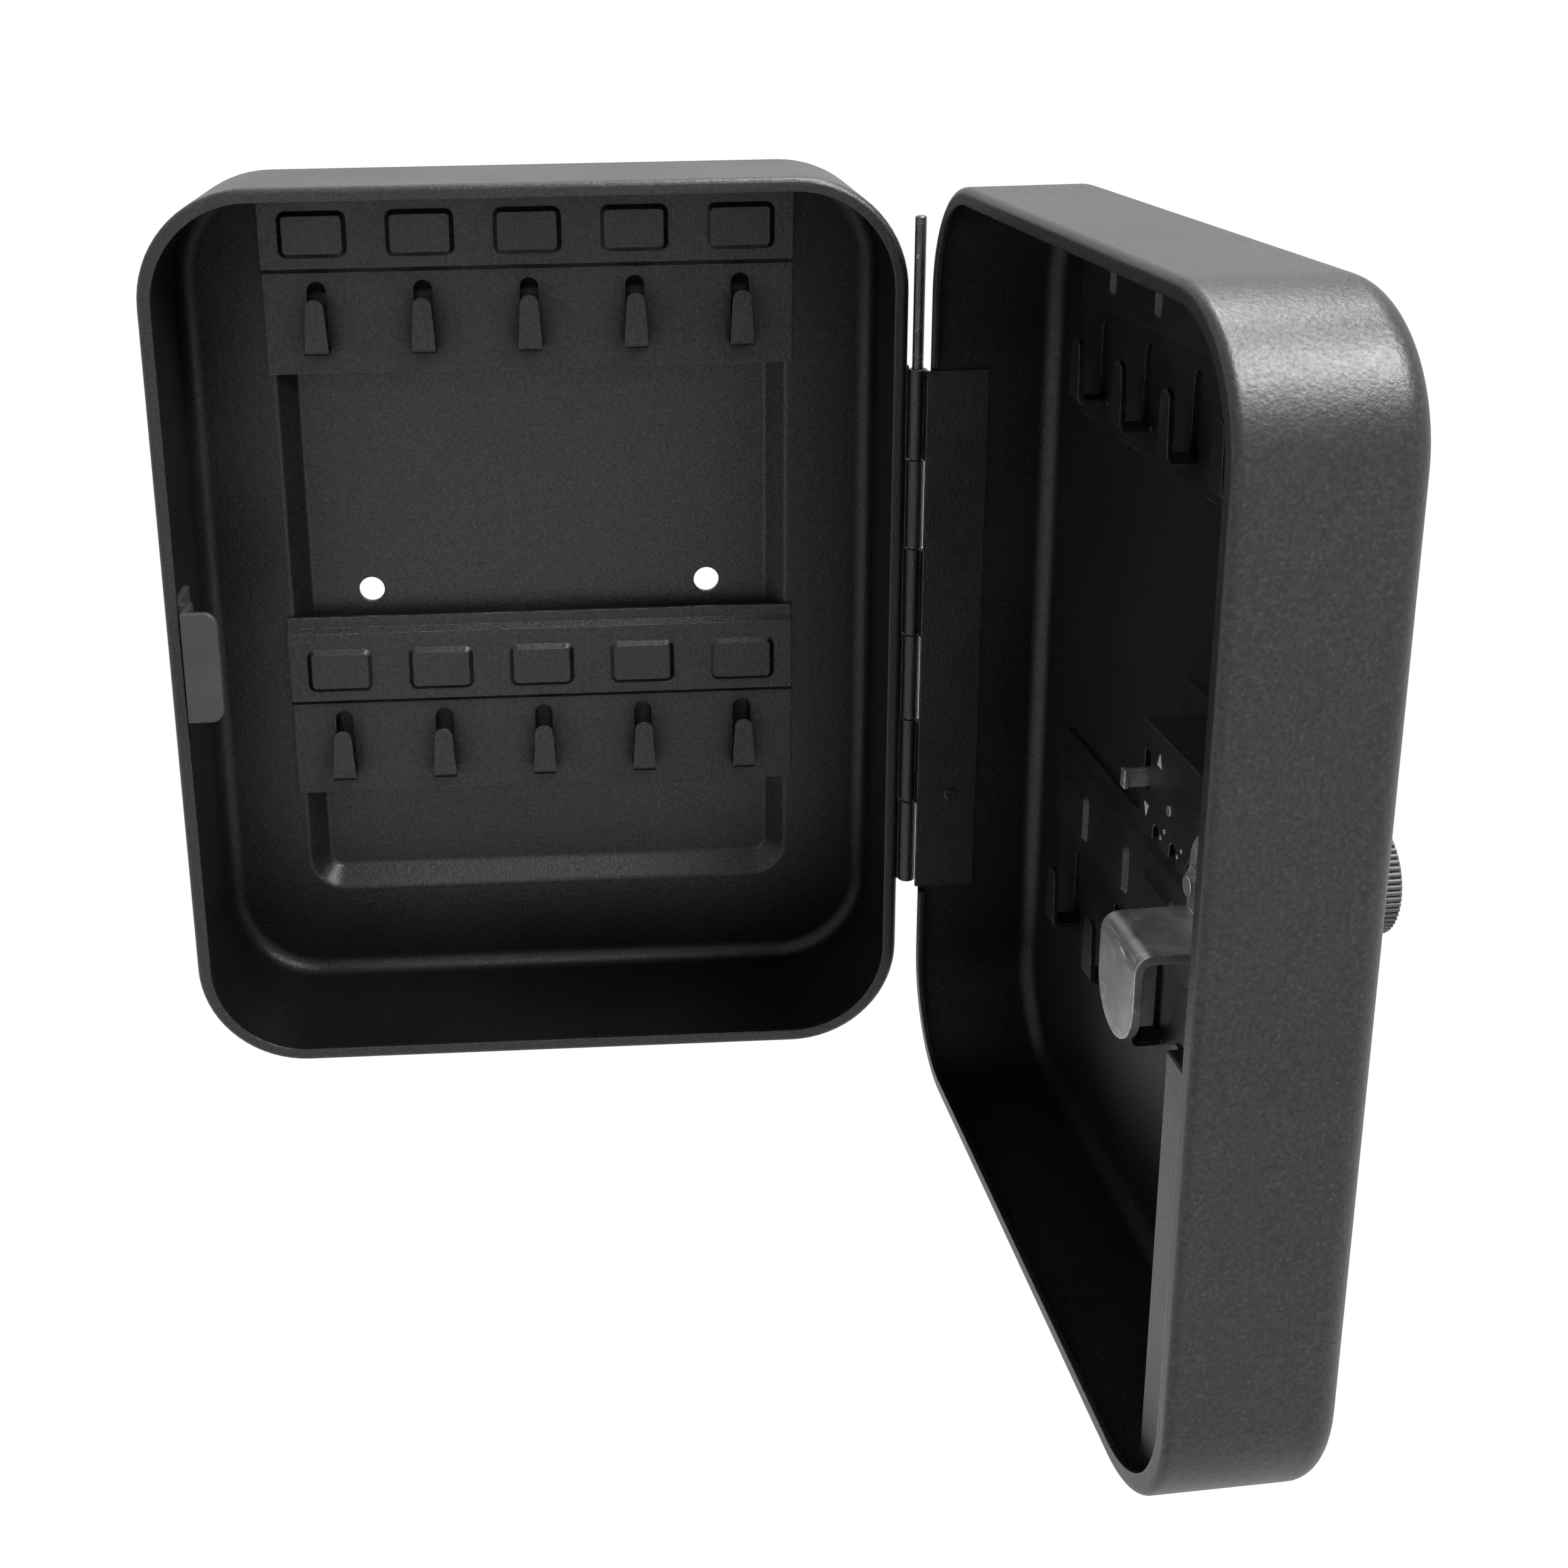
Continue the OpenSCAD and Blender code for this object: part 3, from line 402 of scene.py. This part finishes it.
def softPiece(node, how):
    # a copy of the node with its corners rolled over
    shape = bmesh.new()
    shape.from_mesh(nodes[node].data)
    bmesh.ops.remove_doubles(shape, verts=shape.verts, dist=rolling["weld"] * mm)
    bmesh.ops.dissolve_limit(shape, angle_limit=radians(rolling["flat"]), verts=shape.verts, edges=shape.edges)
    weights = shape.edges.layers.float.new("bevel_weight_edge")
    for edge in shape.edges:
        if len(edge.link_faces) == 2 and edge.calc_face_angle(0) > radians(rolling["corner"]):
            middle = (edge.verts[0].co + edge.verts[1].co) / 2
            edge[weights] = how["weight"](middle) if "weight" in how else 1.0
    mesh = bpy.data.meshes.new(node + "Soft")
    shape.to_mesh(mesh)
    shape.free()
    mesh.shade_smooth()

    def setUp(holder):
        bevel = holder.modifiers.new("roll", "BEVEL")
        bevel.limit_method = "WEIGHT"
        bevel.width = how["width"] * mm
        bevel.segments = rolling["segments"]
        bevel.use_clamp_overlap = True
        even = holder.modifiers.new("even", "WEIGHTED_NORMAL")
        even.weight = rolling["faceWeight"]

    done = frozen(mesh, setUp)
    done.name = node + "Soft"
    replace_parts(place(node + "Soft", done, finishes[node], bodyOf[node]), node)


for node, how in soften.items():
    softPiece(node, how)
print("soft edged pieces made")

# millimetres in the shut door's place; the grip's corners are in from its radius and from its end
knobSize = {"x": -46.0, "z": 0.6, "front": -90.5, "back": -76.4, "neck": -79.6, "radius": 9.7, "neckRadius": 7.8,
    "chamfer": 0.3, "fillet": 0.2, "gripBack": ((0.5, 0.0), (0.1, 0.15), (0.0, 0.4)),
    "gripFront": ((0.0, 1.1), (0.15, 0.7), (0.5, 0.3), (1.1, 0.08), (1.8, 0.0)),
    "rim": 3.0, "dish": 3.4, "sunk": 0.35, "faceMiddle": 0.4,
    "turns": 96, "sharp": 40, "ribs": 60, "rib": 0.43, "ribSides": 12, "ribClear": 1.5}


def lathe(shape, profile, turns):
    rings = [[shape.verts.new((r * cos(2 * pi * i / turns), r * sin(2 * pi * i / turns), z)) for i in range(turns)]
        for r, z in profile]
    for a, b in zip(rings, rings[1:]):
        for i in range(turns):
            j = (i + 1) % turns
            shape.faces.new((a[i], a[j], b[j], b[i]))
    shape.faces.new(rings[0][::-1])
    shape.faces.new(rings[-1])


def ribTree():
    # stands a rounded bar at every point of a circle and joins them to the turned body
    tree = bpy.data.node_groups.new("ribRing", "GeometryNodeTree")
    tree.interface.new_socket(name="Geometry", in_out="INPUT", socket_type="NodeSocketGeometry")
    for name, kind in (("Ribs", "NodeSocketInt"), ("Ring Radius", "NodeSocketFloat"),
            ("Rib Radius", "NodeSocketFloat"), ("Length", "NodeSocketFloat"), ("Material", "NodeSocketMaterial")):
        tree.interface.new_socket(name=name, in_out="INPUT", socket_type=kind)
    tree.interface.new_socket(name="Geometry", in_out="OUTPUT", socket_type="NodeSocketGeometry")
    inside, out = tree.nodes.new("NodeGroupInput"), tree.nodes.new("NodeGroupOutput")
    ring = tree.nodes.new("GeometryNodeMeshCircle")
    bar = tree.nodes.new("GeometryNodeMeshCylinder")
    bar.inputs["Vertices"].default_value = knobSize["ribSides"]
    stand = tree.nodes.new("GeometryNodeInstanceOnPoints")
    real = tree.nodes.new("GeometryNodeRealizeInstances")
    join = tree.nodes.new("GeometryNodeJoinGeometry")
    dress = tree.nodes.new("GeometryNodeSetMaterial")
    for a, b in ((inside.outputs["Ribs"], ring.inputs["Vertices"]),
            (inside.outputs["Ring Radius"], ring.inputs["Radius"]),
            (inside.outputs["Rib Radius"], bar.inputs["Radius"]),
            (inside.outputs["Length"], bar.inputs["Depth"]),
            (ring.outputs["Mesh"], stand.inputs["Points"]),
            (bar.outputs["Mesh"], stand.inputs["Instance"]),
            (stand.outputs["Instances"], join.inputs["Geometry"]),
            (inside.outputs["Geometry"], join.inputs["Geometry"]),
            (join.outputs["Geometry"], real.inputs["Geometry"]),
            (real.outputs["Geometry"], dress.inputs["Geometry"]),
            (inside.outputs["Material"], dress.inputs["Material"]),
            (dress.outputs["Geometry"], out.inputs["Geometry"])):
        tree.links.new(a, b)
    return tree


def knobProfile(core, grip, foot):
    # radius and height from the neck's foot to the sunk face, round the middle of the grip
    k = knobSize
    neck = k["neckRadius"]
    profile = [(neck - k["chamfer"], foot), (neck, foot + k["chamfer"]),
        (neck, -grip - k["fillet"]), (neck + k["fillet"], -grip)]
    profile += [(core - inward, -grip + along) for inward, along in k["gripBack"]]
    profile += [(core - inward, grip - along) for inward, along in k["gripFront"]]
    return profile + [(core - k["rim"], grip), (core - k["dish"], grip - k["sunk"]),
        (k["faceMiddle"], grip - k["sunk"])]


def makeKnob():
    k = knobSize
    length = k["neck"] - k["front"]
    core = k["radius"] - k["rib"]
    grip = length / 2
    shape = bmesh.new()
    lathe(shape, knobProfile(core, grip, -grip - (k["back"] - k["neck"])), k["turns"])
    bmesh.ops.recalc_face_normals(shape, faces=shape.faces)
    body = bpy.data.meshes.new("knobBody")
    shape.to_mesh(body)
    shape.free()
    for face in body.polygons:
        face.use_smooth = True
    tree = ribTree()

    def setUp(holder):
        ribs = holder.modifiers.new("ribs", "NODES")
        ribs.node_group = tree
        values = {"Ribs": k["ribs"], "Ring Radius": core, "Rib Radius": k["rib"],
            "Length": length - k["ribClear"], "Material": knobPaint}
        for socket in tree.interface.items_tree:
            if socket.in_out == "INPUT" and socket.name in values:
                ribs[socket.identifier] = values[socket.name]

    mesh = frozen(body, setUp)
    mesh.transform(Matrix.Rotation(radians(90), 4, "X"))
    mesh.transform(Matrix.Translation((k["x"], (k["front"] + k["neck"]) / 2, k["z"])))
    mesh.transform(doorSpace() @ Matrix.Scale(mm, 4))
    mesh.set_sharp_from_angle(angle=radians(k["sharp"]))
    mesh.name = "ribbedKnob"
    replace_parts(place("ribbedKnob", mesh, None, "knob"), "knob")


makeKnob()
print("knob made")

# millimetres; edges longer than the longest are cut, so that they bend round the dial
numbers = {"height": 4.0, "proud": 0.03, "radius": 6.8, "y": -72.0, "z": 4.3, "first": -18.7, "pitch": 7.8,
    "figures": 10, "longest": 0.6, "cuts": 2, "steps": 3}


def textMesh(word, size):
    curve = bpy.data.curves.new("numberShape", "FONT")
    curve.body, curve.size, curve.align_x, curve.align_y = word, size, "CENTER", "CENTER"
    curve.resolution_u = numbers["steps"]
    holder = bpy.data.objects.new("numberShape", curve)
    bpy.context.scene.collection.objects.link(holder)
    bpy.context.view_layer.update()
    mesh = bpy.data.meshes.new_from_object(holder.evaluated_get(bpy.context.evaluated_depsgraph_get()))
    bpy.data.objects.remove(holder)
    return mesh


def makeNumbers(index):
    # plain figures printed round a dial, read upright from the front
    joined = bmesh.new()
    r = numbers["radius"] + numbers["proud"]
    for figure in range(numbers["figures"]):
        part = bmesh.new()
        part.from_mesh(textMesh(str(figure), numbers["height"]))
        bmesh.ops.triangulate(part, faces=part.faces)
        longEdges = [e for e in part.edges if e.calc_length() > numbers["longest"]]
        bmesh.ops.subdivide_edges(part, edges=longEdges, cuts=numbers["cuts"])
        centre = sum((v.co for v in part.verts), Vector()) / len(part.verts)
        for v in part.verts:
            turn = (v.co.y - centre.y) / r + figure * 2 * pi / numbers["figures"]
            v.co = Vector((v.co.x - centre.x, -r * cos(turn), r * sin(turn)))
        spare = bpy.data.meshes.new("spare")
        part.to_mesh(spare)
        joined.from_mesh(spare)
        part.free()
    spot = Matrix.Translation((numbers["first"] - index * numbers["pitch"], numbers["y"], numbers["z"]))
    joined.transform(doorSpace() @ Matrix.Scale(mm, 4) @ spot)
    mesh = bpy.data.meshes.new("dialNumbers%d" % (index + 1))
    joined.to_mesh(mesh)
    joined.free()
    place(mesh.name, mesh, markInk, "dial_%d" % (index + 1))


for i in range(3):
    makeNumbers(i)
print("numbers made")

# millimetres; the dots follow the dials' pitch
marks = {"y": -63.9, "proud": 0.06, "upper": (-18.1, 10.2), "lower": (-13.1, -1.1), "size": 1.5,
    "arrow": ((-0.75, -0.8), (0.75, -0.8), (0.0, 0.9)), "dots": ((-20.4, -3.2), (-22.0, -1.4)), "dot": 0.42,
    "dotSides": 16}


def printed(shape, outline):
    # a thin slab of paint on the cover, from its outline seen from the front
    front = [shape.verts.new((x, marks["y"] + marks["proud"], z)) for x, z in outline]
    back = [shape.verts.new((x, marks["y"], z)) for x, z in outline]
    shape.faces.new(front)
    shape.faces.new(back[::-1])
    for a in range(len(outline)):
        b = (a + 1) % len(outline)
        shape.faces.new((front[b], front[a], back[a], back[b]))


def makeMarks():
    # two arrowheads for the lever's ends and a pair of dots beside each notch
    shape = bmesh.new()
    for (x, z), way in ((marks["upper"], 1), (marks["lower"], -1)):
        s = marks["size"]
        printed(shape, [(x + dx * s, z + way * dz * s) for dx, dz in marks["arrow"]])
    turns = [2 * pi * a / marks["dotSides"] for a in range(marks["dotSides"])]
    for i in range(3):
        for x, z in marks["dots"]:
            x -= i * numbers["pitch"]
            printed(shape, [(x + marks["dot"] * cos(a), z + marks["dot"] * sin(a)) for a in turns])
    bmesh.ops.recalc_face_normals(shape, faces=shape.faces)
    shape.transform(doorSpace() @ Matrix.Scale(mm, 4))
    mesh = bpy.data.meshes.new("coverMarks")
    shape.to_mesh(mesh)
    shape.free()
    place("coverMarks", mesh, markInk, "door")


makeMarks()
print("marks made")

# where the camera stands in millimetres, its turn in degrees, and its lens and centre in pixels
view = {"at": (8.346, -455.2, 144.6), "turn": (72.95481624, 0.8671205, -2.88807393), "focal": 1984,
    "pixels": 1568, "centre": (660.8, 559.5), "sensor": 36, "near": 0.01, "far": 50}


def makeCamera():
    lens = bpy.data.cameras.new("viewCamera")
    half = view["pixels"] / 2
    lens.lens, lens.sensor_width = view["focal"] * view["sensor"] / view["pixels"], view["sensor"]
    lens.shift_x = (half - view["centre"][0]) / view["pixels"]
    lens.shift_y = (view["centre"][1] - half) / view["pixels"]
    lens.clip_start, lens.clip_end = view["near"], view["far"]
    camera = bpy.data.objects.new("viewCamera", lens)
    camera.location = [value * mm for value in view["at"]]
    camera.rotation_euler = [radians(angle) for angle in view["turn"]]
    bpy.context.scene.collection.objects.link(camera)
    bpy.context.scene.camera = camera


makeCamera()

# metres and watts
lamps = {
    "rightHigh": {"at": (0.38, -0.44, 0.6), "look": (0.12, -0.2, 0.07), "size": (0.3, 0.3), "watts": 7.5},
    "above": {"at": (0.24, -0.02, 0.72), "look": (0.11, -0.2, 0.09), "size": (0.26, 0.26), "watts": 5.0},
    "overhead": {"at": (0.0, 0.4, 0.9), "look": (0.0, -0.05, 0.0), "size": (0.9, 0.5), "watts": 2.3},
    "rightLow": {"at": (0.6, -0.9, -0.25), "look": (0.12, -0.2, -0.05), "size": (0.4, 0.3), "watts": 2.8},
}
for name, lamp in lamps.items():
    light = bpy.data.lights.new(name, "AREA")
    light.shape, light.size, light.size_y, light.energy = "RECTANGLE", *lamp["size"], lamp["watts"]
    holder = bpy.data.objects.new(name, light)
    holder.location = lamp["at"]
    aim = Vector(lamp["look"]) - Vector(lamp["at"])
    holder.rotation_euler = aim.to_track_quat("-Z", "Y").to_euler()
    bpy.context.scene.collection.objects.link(holder)

skyLevel = 0.1  # what lights the object; the background itself is white


def makeWorld():
    world = bpy.data.worlds.new("paleRoom")
    bpy.context.scene.world = world
    world.use_nodes = True
    tree = world.node_tree
    background = tree.nodes["Background"]
    path = tree.nodes.new("ShaderNodeLightPath")
    seen = maths(tree, "MAXIMUM", path.outputs["Is Camera Ray"], path.outputs["Is Transmission Ray"])
    seen = maths(tree, "MAXIMUM", seen, path.outputs["Is Glossy Ray"])
    tree.links.new(spread(tree, seen, 0.0, 1.0, skyLevel, 1.0), background.inputs["Strength"])
    background.inputs["Color"].default_value = (1, 1, 1, 1)


makeWorld()
ground = {"half": 1.6, "z": -0.13, "paper": 0.8, "rough": 0.9}


def makeGround():
    mesh = bpy.data.meshes.new("paleFloor")
    h, z = ground["half"], ground["z"]
    mesh.from_pydata([(-h, -h, z), (h, -h, z), (h, h, z), (-h, h, z)], [], [(0, 1, 2, 3)])
    floor = bpy.data.objects.new("paleFloor", mesh)
    bpy.context.scene.collection.objects.link(floor)
    material = bpy.data.materials.new("palePaper")
    material.use_nodes = True
    tree = material.node_tree
    paper = tree.nodes["Principled BSDF"]
    paper.inputs["Base Color"].default_value = grey(ground["paper"])
    paper.inputs["Roughness"].default_value = ground["rough"]
    glow = add(tree, "ShaderNodeEmission", Color=(1, 1, 1, 1), Strength=1.0)
    mix = tree.nodes.new("ShaderNodeMixShader")
    path = tree.nodes.new("ShaderNodeLightPath")
    seen = maths(tree, "MAXIMUM", path.outputs["Is Camera Ray"], path.outputs["Is Glossy Ray"])
    tree.links.new(maths(tree, "MAXIMUM", seen, path.outputs["Is Transmission Ray"]), mix.inputs[0])
    tree.links.new(paper.outputs[0], mix.inputs[1])
    tree.links.new(glow.outputs[0], mix.inputs[2])
    tree.links.new(mix.outputs[0], tree.nodes["Material Output"].inputs["Surface"])
    mesh.materials.append(material)


makeGround()
bpy.context.scene.view_settings.view_transform = "Standard"
print("camera, light and ground set")
